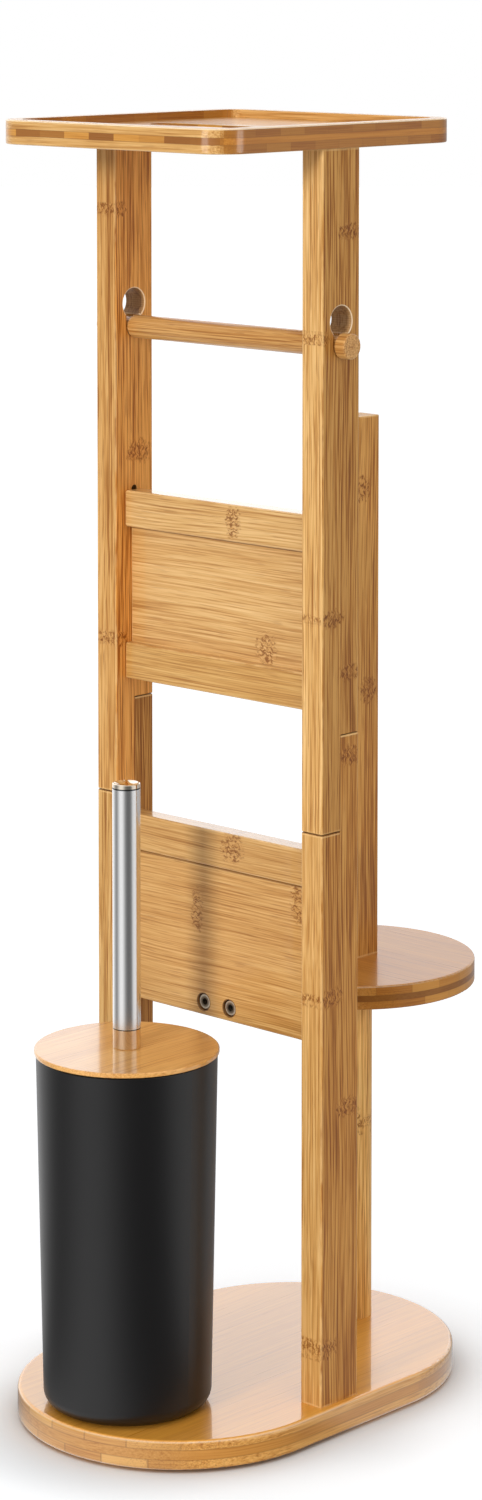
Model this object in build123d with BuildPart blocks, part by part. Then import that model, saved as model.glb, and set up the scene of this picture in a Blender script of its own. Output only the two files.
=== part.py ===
from build123d import *
import os
from math import sqrt

# A free-standing bamboo stand for toilet rolls. Two posts stand on an oval board and carry a tray.
# A lift-off rod holds the roll in use, a round shelf behind holds the spare rolls on a peg, and a
# brush in its cup stands in front. Each post is an upper and a lower half, joined by a half lap.
# Millimetres, +Z up, X along the rod, -Y towards the brush. The origin is the middle of the
# board's outline, on the floor.

# Board and its pads
base_length = 306.0
base_width = 202.0
base_thickness = 18.0
base_edge_radius = 2.5
pad_diameter = 16.0
pad_height = 1.5
pad_spacing_x = 110.0
pad_spacing_y = 236.0
centre_pad_diameter = 24.0

# Posts: a bar 17 wide along X and 33 deep along Y
post_width = 17.0
post_depth = 33.0
post_gap = 158.0
post_centre_y = -12.0
post_edge_radius = 1.2

# Heights of the bays between the posts, from the board up to the tray
foot_bay = 221.0
lower_panel_height = 118.5
middle_bay = 85.5
upper_panel_height = 119.5
roll_bay = 221.0

# Half laps of the posts
lap_length = 59.0
lap_joint_gap = 0.35
lap_end_radius = 0.8
lap_edge_bevel = 0.5
lap_bolt_spacing = 28.0
lap_bolt_length = 25.0

# Panels: rails with a thinner board set back between or below them
rail_height = 23.0
rail_thickness = 14.0
rail_setback = 7.5
rail_edge_radius = 1.6
rail_end_gap = 0.25
upper_board_thickness = 8.0
lower_board_thickness = 13.0
board_edge_radius = 0.8
rebate_height = 5.0
tongue_thickness = 5.0
tongue_height = 5.0
pilot_hole_diameter = 5.0
pilot_hole_depth = 9.0

# Dowels in the panels' ends and under the tray
dowel_diameter = 6.0
dowel_length = 24.0
dowel_depth_in_post = 11.0
tray_dowel_diameter = 8.0
tray_dowel_length = 25.0
tray_dowel_depth_in_tray = 6.5
tray_dowel_spacing = 17.0
dowel_chamfer = 0.8
glue_gap = 0.1

# Tray
tray_width = 194.0
tray_length = 212.0
tray_centre_y = -10.0
tray_thickness = 15.0
tray_corner_radius = 20.0
tray_edge_radius = 1.0
tray_rim_width = 10.0
tray_recess_depth = 5.0
tray_slot_length = 120.0
tray_slot_width = 22.0

# Roll rod and the keyholes that it drops into
rod_drop = 118.0
rod_lift = 14.5
rod_diameter = 14.6
rod_neck_diameter = 11.8
rod_neck_play = 1.0
rod_knob_length = 8.0
rod_knob_diameter = 15.6
rod_edge_radius = 1.0
keyhole_diameter = 19.0
keyhole_slot_width = 12.6
keyhole_bevel = 0.5
rod_rest_gap = 0.3

# Rear shelf, its leg and its peg
shelf_centre_y = 108.0
shelf_radius = 78.0
shelf_thickness = 15.0
shelf_edge_radius = 1.2
shelf_neck_width = 84.0
shelf_neck_blend = 18.0
leg_diameter = 24.0
peg_width = 17.0
peg_depth = 29.0
peg_height = 350.0
peg_edge_radius = 1.5
stud_diameter = 8.0
stud_depth_in_wood = 22.0
shelf_bolt_edge_distance = 8.5
shelf_bolt_spacing = 22.0
shelf_bolt_length = 27.0

# Furniture bolts with a flat head and a hexagon socket, and the sleeves that they screw into
bolt_diameter = 6.0
bolt_head_diameter = 9.8
bolt_head_height = 2.6
bolt_socket_across_flats = 4.0
bolt_socket_depth = 2.0
bolt_head_play = 0.45
bolt_head_sink = 1.2
bolt_clearance = 0.2
sleeve_diameter = 8.5
sleeve_length = 11.0

# Wood screws up through the board
screw_diameter = 4.5
screw_head_diameter = 9.0
screw_head_sink = 0.4
screw_length = 48.0
screw_tip_length = 6.0
screw_spacing = 17.0
screw_slot_length = 5.0
screw_slot_width = 1.2
screw_slot_depth = 1.5
screw_fit = 0.1

# Brush cup
brush_centre_y = -98.5
cup_height = 216.0
cup_top_radius = 55.3
cup_bottom_radius = 51.2
cup_bottom_edge_radius = 9.0
cup_wall = 2.4
cup_floor = 3.0
cup_rim_radius = 0.9
rest_gap = 0.3

# Brush: lid, handle, stem and head
lid_radius = 56.4
lid_thickness = 3.0
lid_edge_radius = 0.8
handle_diameter = 17.0
handle_wall = 0.9
ferrule_length = 12.5
ferrule_edge_radius = 0.6
handle_length = 147.5
cap_height = 2.6
cap_dish_depth = 1.8
cap_rim_width = 1.0
cap_plug_length = 8.0
stem_spigot_diameter = 10.0
stem_spigot_length = 45.0
stem_flange_diameter = 36.0
stem_flange_height = 3.0
stem_diameter = 13.0
stem_length = 118.0
stem_socket_depth = 16.0
head_diameter = 24.0
head_length = 74.0
bristle_diameter = 78.0
bristle_round = 20.0
fit_gap = 0.1

# Places that follow from the sizes above
base_bottom = pad_height
base_top = base_bottom + base_thickness
lower_panel_bottom = base_top + foot_bay
lower_panel_top = lower_panel_bottom + lower_panel_height
upper_panel_bottom = lower_panel_top + middle_bay
upper_panel_top = upper_panel_bottom + upper_panel_height
tray_bottom = upper_panel_top + roll_bay
tray_top = tray_bottom + tray_thickness
tray_floor = tray_top - tray_recess_depth
lap_bottom = (lower_panel_top + upper_panel_bottom - lap_length) / 2
lap_top = lap_bottom + lap_length
inner_face = post_gap / 2
post_centre_x = inner_face + post_width / 2
outer_face = inner_face + post_width
post_front = post_centre_y - post_depth / 2
post_back = post_centre_y + post_depth / 2
panel_front = post_front + rail_setback
panel_back = panel_front + rail_thickness
panel_middle = (panel_front + panel_back) / 2
upper_board_front = panel_back - upper_board_thickness
lower_board_front = panel_back - lower_board_thickness
lower_rail_bottom = lower_panel_top - rail_height
upper_rail_bottom = upper_panel_top - rail_height
bottom_rail_top = upper_panel_bottom + rail_height
panel_length = post_gap - 2 * rail_end_gap
rod_height = tray_bottom - rod_drop
keyhole_height = rod_height + rod_lift
shelf_bolt_height = lower_panel_bottom + shelf_bolt_edge_distance
shelf_bottom = shelf_bolt_height - shelf_thickness / 2
shelf_top = shelf_bottom + shelf_thickness
peg_top = shelf_top + peg_height
cup_bottom = base_top + rest_gap
cup_top = cup_bottom + cup_height
lid_bottom = cup_top + rest_gap
lid_top = lid_bottom + lid_thickness
ferrule_top = lid_top + ferrule_length
cap_bottom = ferrule_top + handle_length
cap_top = cap_bottom + cap_height
stem_bottom = lid_bottom - stem_flange_height - stem_length
head_top = stem_bottom + stem_socket_depth
head_bottom = head_top - head_length
brush_plane = Plane(origin=(0, brush_centre_y, 0), x_dir=(1, 0, 0), z_dir=(0, -1, 0))
brush_axis = Axis((0, brush_centre_y, 0), (0, 0, 1))
dowel_points = [
    (panel_middle, upper_panel_top - rail_height / 2),
    (panel_middle, upper_panel_bottom + rail_height / 2),
    (panel_middle, lower_panel_top - rail_height / 2),
    (panel_middle, lower_panel_bottom + rail_height / 2),
]
lap_bolt_heights = [
    lap_bottom + lap_length / 2 - lap_bolt_spacing / 2,
    lap_bottom + lap_length / 2 + lap_bolt_spacing / 2,
]


def drill_across(diameter, x_from, x_to, y, z):
    """Cuts a round hole along X into the part being built."""
    with Locations(((x_from + x_to) / 2, y, z)):
        Cylinder(diameter / 2, abs(x_to - x_from), rotation=(0, 90, 0), mode=Mode.SUBTRACT)


def drill_along(diameter, y_from, y_to, x, z):
    """Cuts a round hole along Y into the part being built."""
    with Locations((x, (y_from + y_to) / 2, z)):
        Cylinder(diameter / 2, abs(y_to - y_from), rotation=(90, 0, 0), mode=Mode.SUBTRACT)


def drill_up(diameter, z_from, z_to, x, y):
    """Cuts a round hole along Z into the part being built."""
    with Locations((x, y, (z_from + z_to) / 2)):
        Cylinder(diameter / 2, abs(z_to - z_from), mode=Mode.SUBTRACT)


def drill_dowel_holes(side, first, last):
    """Cuts the holes for the panels' dowels into a post's inner face."""
    for y, z in dowel_points:
        if first < z < last:
            deep = side * (inner_face + dowel_depth_in_post + glue_gap)
            drill_across(dowel_diameter + 2 * glue_gap, side * inner_face, deep, y, z)


def bevel_lap_ends(post, low, high):
    """Bevels the outer edges of a post's two half-lap ends, so that each joint shows as a groove."""
    for z in (low, high):
        rims = post.edges().filter_by_position(Axis.Z, z - 0.01, z + 0.01)
        split = rims.filter_by_position(Axis.Y, post_centre_y - 0.01, post_centre_y + 0.01)
        chamfer([rim for rim in rims if rim not in split], lap_edge_bevel)


def upper_post(side):
    """The upper half of a post, with its front tongue below and its keyhole above."""
    with BuildPart() as post:
        with BuildSketch(Plane.XY.offset(lap_bottom + lap_joint_gap)):
            with Locations((side * post_centre_x, post_centre_y)):
                RectangleRounded(post_width, post_depth, post_edge_radius)
        extrude(amount=tray_bottom - lap_bottom - lap_joint_gap)
        with Locations((side * post_centre_x, post_centre_y, lap_top)):
            Box(
                post_width,
                post_depth / 2,
                lap_length,
                align=(Align.CENTER, Align.MIN, Align.MAX),
                mode=Mode.SUBTRACT,
            )
        bevel_lap_ends(post, lap_bottom + lap_joint_gap, lap_top)
        tongue_end = post.faces().sort_by(Axis.Z)[0]
        fillet(tongue_end.edges().filter_by(Axis.X).sort_by(Axis.Y)[-1], lap_end_radius)
        with BuildSketch(Plane.YZ.offset(side * inner_face)):
            with Locations((post_centre_y, keyhole_height)):
                Circle(keyhole_diameter / 2)
            slot_end = rod_height - rod_rest_gap
            slot_end += (keyhole_slot_width - rod_neck_diameter) / 2
            with Locations((post_centre_y, (slot_end + keyhole_height) / 2)):
                SlotCenterToCenter(keyhole_height - slot_end, keyhole_slot_width, rotation=90)
        extrude(amount=side * post_width, mode=Mode.SUBTRACT)
        for face_x in (side * inner_face, side * outer_face):
            on_face = post.edges().filter_by_position(Axis.X, face_x - 0.01, face_x + 0.01)
            low, high = rod_height - keyhole_diameter, keyhole_height + keyhole_diameter
            chamfer(on_face.filter_by_position(Axis.Z, low, high), keyhole_bevel)
        drill_dowel_holes(side, lap_top, tray_bottom)
        for z in lap_bolt_heights:
            sleeve_end = post_centre_y - sleeve_length - glue_gap
            bore = sleeve_diameter + 2 * glue_gap
            drill_along(bore, sleeve_end, post_centre_y, side * post_centre_x, z)
        for y in (-tray_dowel_spacing / 2, tray_dowel_spacing / 2):
            deep = tray_bottom - (tray_dowel_length - tray_dowel_depth_in_tray) - glue_gap
            bore = tray_dowel_diameter + 2 * glue_gap
            drill_up(bore, deep, tray_bottom, side * post_centre_x, post_centre_y + y)
        # An unused pilot hole, half covered by the end of the upper rail
        pilot_end = side * (inner_face + pilot_hole_depth)
        drill_across(pilot_hole_diameter, side * inner_face, pilot_end, post_centre_y, upper_panel_top)
    return post


def lower_post(side):
    """The lower half of a post, with its rear tongue above and its foot on the board."""
    with BuildPart() as post:
        with BuildSketch(Plane.XY.offset(base_top)):
            with Locations((side * post_centre_x, post_centre_y)):
                RectangleRounded(post_width, post_depth, post_edge_radius)
        extrude(amount=lap_top - lap_joint_gap - base_top)
        with Locations((side * post_centre_x, post_centre_y, lap_bottom)):
            Box(
                post_width,
                post_depth / 2,
                lap_length,
                align=(Align.CENTER, Align.MAX, Align.MIN),
                mode=Mode.SUBTRACT,
            )
        bevel_lap_ends(post, lap_bottom, lap_top - lap_joint_gap)
        tongue_end = post.faces().sort_by(Axis.Z)[-1]
        fillet(tongue_end.edges().filter_by(Axis.X).sort_by(Axis.Y)[0], lap_end_radius)
        drill_dowel_holes(side, base_top, lap_bottom)
        for z in lap_bolt_heights:
            head_end = post_back - bolt_head_height - bolt_head_sink
            head_bore = bolt_head_diameter + 2 * bolt_head_play
            shank_bore = bolt_diameter + 2 * bolt_clearance
            drill_along(shank_bore, post_centre_y, post_back, side * post_centre_x, z)
            drill_along(head_bore, head_end, post_back, side * post_centre_x, z)
        for y in (-screw_spacing / 2, screw_spacing / 2):
            tip = base_bottom + screw_head_sink + screw_length + screw_fit
            bore = screw_diameter + 2 * screw_fit
            drill_up(bore, base_top, tip, side * post_centre_x, post_centre_y + y)
    return post


def rail(z_low):
    """A rail's bar with rounded edges, its ends just clear of the posts."""
    with BuildPart() as bar:
        with Locations((0, panel_middle, z_low)):
            Box(
                panel_length,
                rail_thickness,
                rail_height,
                align=(Align.CENTER, Align.CENTER, Align.MIN),
            )
        fillet(bar.edges(), rail_edge_radius)
    return bar.part


def drill_end_dowels(z):
    """Cuts a dowel hole into each end of a panel's rail or board."""
    depth = dowel_length - dowel_depth_in_post - rail_end_gap + glue_gap
    for side in (-1, 1):
        end = side * panel_length / 2
        bore = dowel_diameter + 2 * glue_gap
        drill_across(bore, end, end - side * depth, panel_middle, z)


def dowel(diameter, length):
    """A wooden dowel along Z, centred, with chamfered ends."""
    with BuildPart() as pin:
        Cylinder(diameter / 2, length)
        chamfer(pin.edges().filter_by(GeomType.CIRCLE), dowel_chamfer)
    return pin.part


def flat_bolt(length):
    """A bolt along Z, its head's flat top at the origin and its shank below."""
    with BuildPart() as bolt:
        with BuildSketch(Plane.XZ):
            with BuildLine():
                Polyline(
                    (0, 0),
                    (bolt_head_diameter / 2 - 0.5, 0),
                    (bolt_head_diameter / 2, -0.5),
                    (bolt_head_diameter / 2, -1.2),
                    (bolt_diameter / 2, -bolt_head_height),
                    (bolt_diameter / 2, -length + 0.8),
                    (bolt_diameter / 2 - 0.8, -length),
                    (0, -length),
                    close=True,
                )
            make_face()
        revolve(axis=Axis.Z)
        with BuildSketch():
            RegularPolygon(bolt_socket_across_flats / sqrt(3), 6)
        extrude(amount=-bolt_socket_depth, mode=Mode.SUBTRACT)
    return bolt.part


def sleeve():
    """A threaded sleeve along Z, its mouth at the origin, with rings that grip the wood."""
    with BuildPart() as nut:
        with Locations((0, 0, -sleeve_length / 2)):
            Cylinder(sleeve_diameter / 2, sleeve_length)
            Cylinder(bolt_diameter / 2 + fit_gap, sleeve_length, mode=Mode.SUBTRACT)
        chamfer(nut.edges().filter_by(GeomType.CIRCLE).sort_by(Edge.length)[-2:], 0.5)
    return nut.part


def wood_screw():
    """A countersunk wood screw along Z, its head's flat top at the origin, pointing down."""
    head_height = (screw_head_diameter - screw_diameter) / 2
    with BuildPart() as screw:
        with BuildSketch(Plane.XZ):
            with BuildLine():
                Polyline(
                    (0, 0),
                    (screw_head_diameter / 2, 0),
                    (screw_diameter / 2, -head_height),
                    (screw_diameter / 2, -screw_length + screw_tip_length),
                    (0, -screw_length),
                    close=True,
                )
            make_face()
        revolve(axis=Axis.Z)
        for angle in (0, 90):
            with BuildSketch():
                Rectangle(screw_slot_length, screw_slot_width, rotation=angle)
            extrude(amount=-screw_slot_depth, mode=Mode.SUBTRACT)
    return screw.part


def screw_places():
    """Where the wood screws' heads sit under the board: two for each post, and one for the leg."""
    height = base_bottom + screw_head_sink
    places = [
        (side * post_centre_x, post_centre_y + y, height)
        for side in (-1, 1)
        for y in (-screw_spacing / 2, screw_spacing / 2)
    ]
    return places + [(0, shelf_centre_y, height)]


def outer_rims(turned, radius):
    """The round edges of a turned part that have the given radius."""
    circles = turned.edges().filter_by(GeomType.CIRCLE)
    return circles.filter_by(lambda circle: abs(circle.radius - radius) < 0.01)


def facing(x, y, z, direction):
    """A place whose local Z points in the given direction."""
    return Plane(origin=(x, y, z), z_dir=direction)


# Board, with countersunk holes for the screws in its underside
with BuildPart() as base_board:
    with BuildSketch(Plane.XY.offset(base_bottom)):
        SlotOverall(base_length, base_width, rotation=90)
    extrude(amount=base_thickness)
    rims = base_board.faces().filter_by(Axis.Z).edges()
    fillet(rims, base_edge_radius)
    with Locations(*[facing(x, y, base_bottom, (0, 0, -1)) for x, y, z in screw_places()]):
        CounterSinkHole(
            screw_diameter / 2 + screw_fit,
            screw_head_diameter / 2 + screw_head_sink + screw_fit,
            counter_sink_angle=90,
        )

with BuildPart() as foot_pads:
    with GridLocations(pad_spacing_x, pad_spacing_y, 2, 2):
        Cylinder(pad_diameter / 2, pad_height, align=(Align.CENTER, Align.CENTER, Align.MIN))
    Cylinder(centre_pad_diameter / 2, pad_height, align=(Align.CENTER, Align.CENTER, Align.MIN))
    fillet(foot_pads.faces().group_by(Axis.Z)[0].edges(), 0.4)

with BuildPart() as base_screws:
    with Locations(*[facing(x, y, z, (0, 0, -1)) for x, y, z in screw_places()]):
        add(wood_screw())

# Posts, each in two halves, the right side a mirror of the left
lower_post_left = lower_post(-1)
lower_post_right = lower_post(1)
upper_post_left = upper_post(-1)
upper_post_right = upper_post(1)

with BuildPart() as lap_bolts:
    for side in (-1, 1):
        for z in lap_bolt_heights:
            head = post_back - bolt_head_sink
            with Locations(facing(side * post_centre_x, head, z, (0, 1, 0))):
                add(flat_bolt(lap_bolt_length))

with BuildPart() as lap_sleeves:
    for side in (-1, 1):
        for z in lap_bolt_heights:
            with Locations(facing(side * post_centre_x, post_centre_y, z, (0, 1, 0))):
                add(sleeve())

# Upper panel: two rails, rebated behind for a board that lies flush with their backs
with BuildPart() as upper_panel_top_rail:
    add(rail(upper_rail_bottom))
    with Locations((0, panel_back, upper_rail_bottom)):
        Box(
            panel_length,
            upper_board_thickness + glue_gap,
            rebate_height + glue_gap,
            align=(Align.CENTER, Align.MAX, Align.MIN),
            mode=Mode.SUBTRACT,
        )
    drill_end_dowels(upper_panel_top - rail_height / 2)

with BuildPart() as upper_panel_bottom_rail:
    add(rail(upper_panel_bottom))
    with Locations((0, panel_back, bottom_rail_top)):
        Box(
            panel_length,
            upper_board_thickness + glue_gap,
            rebate_height + glue_gap,
            align=(Align.CENTER, Align.MAX, Align.MAX),
            mode=Mode.SUBTRACT,
        )
    drill_end_dowels(upper_panel_bottom + rail_height / 2)

with BuildPart() as upper_panel_board:
    with Locations((0, panel_back, bottom_rail_top - rebate_height)):
        Box(
            panel_length,
            upper_board_thickness,
            upper_rail_bottom - bottom_rail_top + 2 * rebate_height,
            align=(Align.CENTER, Align.MAX, Align.MIN),
        )
    fillet(upper_panel_board.edges(), board_edge_radius)

# Lower panel: one rail on top, grooved for the tongue of a thicker board below it
with BuildPart() as lower_panel_top_rail:
    add(rail(lower_rail_bottom))
    with Locations((0, panel_middle, lower_rail_bottom)):
        Box(
            panel_length,
            tongue_thickness + 2 * glue_gap,
            tongue_height + glue_gap,
            align=(Align.CENTER, Align.CENTER, Align.MIN),
            mode=Mode.SUBTRACT,
        )
    drill_end_dowels(lower_panel_top - rail_height / 2)

with BuildPart() as lower_panel_board:
    with Locations((0, panel_back, lower_panel_bottom)):
        Box(
            panel_length,
            lower_board_thickness,
            lower_rail_bottom - lower_panel_bottom - glue_gap,
            align=(Align.CENTER, Align.MAX, Align.MIN),
        )
    fillet(lower_panel_board.edges(), rail_edge_radius)
    with Locations((0, panel_middle, lower_rail_bottom + tongue_height)):
        Box(
            panel_length,
            tongue_thickness,
            tongue_height + rail_edge_radius + 1,
            align=(Align.CENTER, Align.CENTER, Align.MAX),
        )
    drill_end_dowels(lower_panel_bottom + rail_height / 2)
    for x in (-shelf_bolt_spacing / 2, shelf_bolt_spacing / 2):
        head_end = lower_board_front + bolt_head_height + bolt_head_sink
        shank_bore = bolt_diameter + 2 * bolt_clearance
        head_bore = bolt_head_diameter + 2 * bolt_head_play
        drill_along(shank_bore, lower_board_front, panel_back, x, shelf_bolt_height)
        drill_along(head_bore, lower_board_front, head_end, x, shelf_bolt_height)

with BuildPart() as panel_dowels:
    dowel_centre = inner_face + dowel_depth_in_post - dowel_length / 2
    for side in (-1, 1):
        for y, z in dowel_points:
            with Locations(facing(side * dowel_centre, y, z, (1, 0, 0))):
                add(dowel(dowel_diameter, dowel_length))

# Tray: one board with a shallow recess, and a slot through its floor between the posts
with BuildPart() as tray:
    with BuildSketch(Plane.XY.offset(tray_bottom)):
        with Locations((0, tray_centre_y)):
            RectangleRounded(tray_width, tray_length, tray_corner_radius)
    extrude(amount=tray_thickness)
    fillet(tray.faces().filter_by(Axis.Z).edges(), tray_edge_radius)
    with BuildSketch(Plane.XY.offset(tray_top)):
        with Locations((0, tray_centre_y)):
            RectangleRounded(
                tray_width - 2 * tray_rim_width,
                tray_length - 2 * tray_rim_width,
                tray_corner_radius - tray_rim_width,
            )
    extrude(amount=-tray_recess_depth, mode=Mode.SUBTRACT)
    with BuildSketch(Plane.XY.offset(tray_bottom)):
        with Locations((0, post_centre_y)):
            SlotOverall(tray_slot_length, tray_slot_width)
    extrude(amount=tray_thickness, mode=Mode.SUBTRACT)
    for x in (-post_centre_x, post_centre_x):
        for y in (-tray_dowel_spacing / 2, tray_dowel_spacing / 2):
            deep = tray_bottom + tray_dowel_depth_in_tray + glue_gap
            bore = tray_dowel_diameter + 2 * glue_gap
            drill_up(bore, tray_bottom, deep, x, post_centre_y + y)

with BuildPart() as tray_dowels:
    middle = tray_bottom + tray_dowel_depth_in_tray - tray_dowel_length / 2
    with Locations((0, post_centre_y, middle)):
        with GridLocations(2 * post_centre_x, tray_dowel_spacing, 2, 2):
            add(dowel(tray_dowel_diameter, tray_dowel_length))

# Rod: a bar with a turned neck in each post and a knob outside it
with BuildPart() as roll_rod:
    neck_start = inner_face - rod_neck_play
    neck_end = outer_face + rod_neck_play
    rod_end = neck_end + rod_knob_length
    with BuildSketch(Plane.XY.offset(rod_height)):
        with BuildLine():
            Polyline(
                (-rod_end, post_centre_y),
                (-rod_end, post_centre_y + rod_knob_diameter / 2),
                (-neck_end, post_centre_y + rod_knob_diameter / 2),
                (-neck_end, post_centre_y + rod_neck_diameter / 2),
                (-neck_start, post_centre_y + rod_neck_diameter / 2),
                (-neck_start, post_centre_y + rod_diameter / 2),
                (neck_start, post_centre_y + rod_diameter / 2),
                (neck_start, post_centre_y + rod_neck_diameter / 2),
                (neck_end, post_centre_y + rod_neck_diameter / 2),
                (neck_end, post_centre_y + rod_knob_diameter / 2),
                (rod_end, post_centre_y + rod_knob_diameter / 2),
                (rod_end, post_centre_y),
                close=True,
            )
        make_face()
    revolve(axis=Axis((0, post_centre_y, rod_height), (1, 0, 0)))
    fillet(outer_rims(roll_rod, rod_diameter / 2), rod_edge_radius)
    fillet(outer_rims(roll_rod, rod_knob_diameter / 2), rod_edge_radius)

# Shelf: a round board with a neck that butts against the back of the lower panel
with BuildPart() as rear_shelf:
    with BuildSketch(Plane.XY.offset(shelf_bottom)):
        with Locations((0, shelf_centre_y)):
            Circle(shelf_radius)
        with Locations((0, panel_back)):
            Rectangle(
                shelf_neck_width,
                shelf_centre_y - panel_back,
                align=(Align.CENTER, Align.MIN),
            )
    extrude(amount=shelf_thickness)
    neck_corners = rear_shelf.edges().filter_by(Axis.Z).sort_by(Axis.Y)[-2:]
    fillet(neck_corners, shelf_neck_blend)
    fillet(rear_shelf.faces().filter_by(Axis.Z).edges(), shelf_edge_radius)
    for x in (-shelf_bolt_spacing / 2, shelf_bolt_spacing / 2):
        sleeve_end = panel_back + sleeve_length + glue_gap
        bore = sleeve_diameter + 2 * glue_gap
        bolt_end = lower_board_front + bolt_head_sink + shelf_bolt_length + fit_gap
        drill_along(bore, panel_back, sleeve_end, x, shelf_bolt_height)
        drill_along(bolt_diameter + 2 * fit_gap, panel_back, bolt_end, x, shelf_bolt_height)
    drill_up(stud_diameter + 2 * fit_gap, shelf_bottom, shelf_top, 0, shelf_centre_y)

with BuildPart() as shelf_bolts:
    for x in (-shelf_bolt_spacing / 2, shelf_bolt_spacing / 2):
        head = lower_board_front + bolt_head_sink
        with Locations(facing(x, head, shelf_bolt_height, (0, -1, 0))):
            add(flat_bolt(shelf_bolt_length))

with BuildPart() as shelf_sleeves:
    for x in (-shelf_bolt_spacing / 2, shelf_bolt_spacing / 2):
        with Locations(facing(x, panel_back, shelf_bolt_height, (0, -1, 0))):
            add(sleeve())

with BuildPart() as rear_leg:
    with BuildSketch(Plane.XY.offset(base_top)):
        with Locations((0, shelf_centre_y)):
            Circle(leg_diameter / 2)
    extrude(amount=shelf_bottom - base_top)
    stud_end = shelf_bottom - stud_depth_in_wood - fit_gap
    drill_up(stud_diameter + 2 * fit_gap, stud_end, shelf_bottom, 0, shelf_centre_y)
    tip = base_bottom + screw_head_sink + screw_length + screw_fit
    drill_up(screw_diameter + 2 * screw_fit, base_top, tip, 0, shelf_centre_y)

with BuildPart() as spare_roll_peg:
    with BuildSketch(Plane.XY.offset(shelf_top)):
        with Locations((0, shelf_centre_y)):
            RectangleRounded(peg_width, peg_depth, peg_edge_radius)
    extrude(amount=peg_height)
    fillet(spare_roll_peg.faces().sort_by(Axis.Z)[-1].edges(), peg_edge_radius / 2)
    stud_end = shelf_top + stud_depth_in_wood + fit_gap
    drill_up(stud_diameter + 2 * fit_gap, shelf_top, stud_end, 0, shelf_centre_y)

with BuildPart() as peg_stud:
    stud_length = shelf_thickness + 2 * stud_depth_in_wood
    with Locations((0, shelf_centre_y, (shelf_bottom + shelf_top) / 2)):
        Cylinder(stud_diameter / 2, stud_length)
    chamfer(peg_stud.edges().filter_by(GeomType.CIRCLE), 0.8)

# Cup: a thin tapered wall with a well-rounded bottom edge
with BuildPart() as brush_cup:
    with BuildSketch(brush_plane):
        with BuildLine():
            FilletPolyline(
                (0, cup_bottom),
                (cup_bottom_radius, cup_bottom),
                (cup_top_radius, cup_top),
                radius=cup_bottom_edge_radius,
            )
            Line((cup_top_radius, cup_top), (cup_top_radius - cup_wall, cup_top))
            FilletPolyline(
                (cup_top_radius - cup_wall, cup_top),
                (cup_bottom_radius - cup_wall, cup_bottom + cup_floor),
                (0, cup_bottom + cup_floor),
                radius=cup_bottom_edge_radius - cup_wall,
            )
            Line((0, cup_bottom + cup_floor), (0, cup_bottom))
        make_face()
    revolve(axis=brush_axis)
    fillet(brush_cup.edges().group_by(Axis.Z)[-1], cup_rim_radius)

# Lid: a thin bamboo disc, clamped between the handle's ferrule and the stem's flange
with BuildPart() as brush_lid:
    with BuildSketch(Plane.XY.offset(lid_bottom)):
        with Locations((0, brush_centre_y)):
            Circle(lid_radius)
            Circle(stem_spigot_diameter / 2 + fit_gap, mode=Mode.SUBTRACT)
    extrude(amount=lid_thickness)
    fillet(outer_rims(brush_lid, lid_radius), lid_edge_radius)

with BuildPart() as handle_ferrule:
    with BuildSketch(Plane.XY.offset(lid_top)):
        with Locations((0, brush_centre_y)):
            Circle(handle_diameter / 2)
            Circle(stem_spigot_diameter / 2 + fit_gap, mode=Mode.SUBTRACT)
    extrude(amount=ferrule_length)
    fillet(outer_rims(handle_ferrule, handle_diameter / 2), ferrule_edge_radius)

with BuildPart() as handle_tube:
    with BuildSketch(Plane.XY.offset(ferrule_top)):
        with Locations((0, brush_centre_y)):
            Circle(handle_diameter / 2)
            Circle(handle_diameter / 2 - handle_wall, mode=Mode.SUBTRACT)
    extrude(amount=handle_length)

# Cap: a rounded rim with a dished top, plugged into the tube
with BuildPart() as handle_cap:
    plug_radius = handle_diameter / 2 - handle_wall - fit_gap
    dish_radius = handle_diameter / 2 - cap_rim_width
    dish_sphere = (dish_radius**2 + cap_dish_depth**2) / (2 * cap_dish_depth)
    with BuildSketch(Plane.XY.offset(cap_bottom - cap_plug_length)):
        with Locations((0, brush_centre_y)):
            Circle(plug_radius)
    extrude(amount=cap_plug_length)
    with BuildSketch(Plane.XY.offset(cap_bottom)):
        with Locations((0, brush_centre_y)):
            Circle(handle_diameter / 2)
    extrude(amount=cap_height)
    with Locations((0, brush_centre_y, cap_top - cap_dish_depth + dish_sphere)):
        Sphere(dish_sphere, mode=Mode.SUBTRACT)
    cap_rim = outer_rims(handle_cap, handle_diameter / 2).sort_by(Axis.Z)[-1]
    fillet(cap_rim, cap_rim_width * 0.8)

# Stem: a moulded rod with a flange under the lid and a spigot up into the handle
with BuildPart() as brush_stem:
    flange_bottom = lid_bottom - stem_flange_height
    spigot_top = lid_top + stem_spigot_length
    with BuildSketch(brush_plane):
        with BuildLine():
            Polyline(
                (0, stem_bottom),
                (stem_diameter / 2, stem_bottom),
                (stem_diameter / 2, flange_bottom),
                (stem_flange_diameter / 2, flange_bottom),
                (stem_flange_diameter / 2, lid_bottom),
                (stem_spigot_diameter / 2, lid_bottom),
                (stem_spigot_diameter / 2, spigot_top),
                (0, spigot_top),
                close=True,
            )
        make_face()
    revolve(axis=brush_axis)
    flange = brush_stem.edges().filter_by(GeomType.CIRCLE).group_by(Edge.length)[-1]
    fillet(flange, stem_flange_height / 4)

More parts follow.
